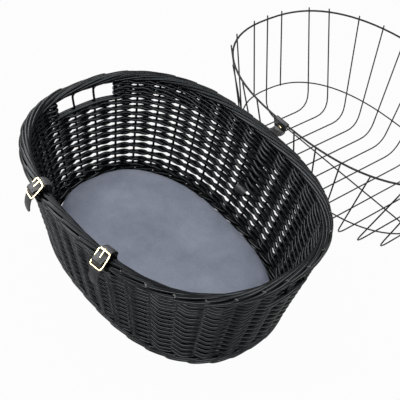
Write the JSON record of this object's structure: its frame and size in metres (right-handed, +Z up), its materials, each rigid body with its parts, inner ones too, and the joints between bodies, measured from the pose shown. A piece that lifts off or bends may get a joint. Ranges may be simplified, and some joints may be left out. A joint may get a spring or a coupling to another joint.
{
  "type": "bicycle basket",
  "caption": "Oval tapered willow basket for a bicycle carrier, with handle windows, a floor pad, buckled leather straps and a wire dome lid that opens on a leather hinge.",
  "frame": {"origin": "middle of the base board's underside, where the basket stands", "axes": "+Z up, +Y towards the hinge side where the open lid lies, +X along the basket's long side"},
  "size_m": [0.6025, 0.9301, 0.2427],
  "materials": {
    "willow": "black stained and varnished willow, semi-gloss",
    "board": "dark stained plywood",
    "pad_cloth": "mottled grey fabric over foam",
    "leather": "black leather",
    "brass": "pale polished brass",
    "black_wire": "satin black coated steel wire"
  },
  "bodies": {
    "basket": {"base_board": "board", "base_wale": "willow", "rim_border": "willow", "wall_weave": "willow", "left_window_stake_1": "willow", "left_window_stake_2": "willow", "right_window_stake_1": "willow", "left_strap": "leather", "left_buckle_frame": "brass", "right_strap": "leather", "right_buckle_frame": "brass", "hinge_strap_lower": "leather"},
    "pad": {"floor_pad": "pad_cloth"},
    "left_prong": {"left_buckle_prong": "brass"},
    "right_prong": {"right_buckle_prong": "brass"},
    "hinge_strap": {"hinge_strap_upper": "leather", "hinge_rivet": "brass"},
    "lid": {"lid_rim_ring": "black_wire", "lid_upper_ring": "black_wire", "lid_cross_wire_left_1": "black_wire", "lid_cross_wire_left_2": "black_wire", "lid_cross_wire_left_3": "black_wire", "lid_cross_wire_left_4": "black_wire", "lid_cross_wire_left_5": "black_wire", "lid_cross_wire_left_6": "black_wire", "lid_cross_wire_right_1": "black_wire", "lid_cross_wire_right_2": "black_wire", "lid_cross_wire_right_3": "black_wire", "lid_cross_wire_right_4": "black_wire", "lid_cross_wire_right_5": "black_wire", "lid_cross_wire_right_6": "black_wire", "lid_ridge_wire": "black_wire", "lid_end_wire_left_front": "black_wire", "lid_end_wire_left_back": "black_wire", "lid_end_wire_right_front": "black_wire", "lid_end_wire_right_back": "black_wire"}
  },
  "joints": [
    {"name": "strap_fold", "type": "hinge", "parent": "basket", "child": "hinge_strap", "pos_m": [0, 0.232, 0.208], "axis": [1, 0, 0], "range_deg": [0, 90]},
    {"name": "lid_turn", "type": "hinge", "parent": "hinge_strap", "child": "lid", "pos_m": [0, 0.256, 0.226], "axis": [1, 0, 0], "range_deg": [0, 88]},
    {"name": "left_prong_hinge", "type": "hinge", "parent": "basket", "child": "left_prong", "pos_m": [-0.08366, -0.22517, 0.2279], "axis": [0.9923, -0.1238, 0], "range_deg": [0, 100]},
    {"name": "right_prong_hinge", "type": "hinge", "parent": "basket", "child": "right_prong", "pos_m": [0.10327, -0.22228, 0.2279], "axis": [0.9855, 0.1696, 0], "range_deg": [0, 100]},
    {"name": "pad_lift", "type": "slide", "parent": "basket", "child": "pad", "axis": [0, 0, 1], "range_m": [0, 0.25]}
  ]
}
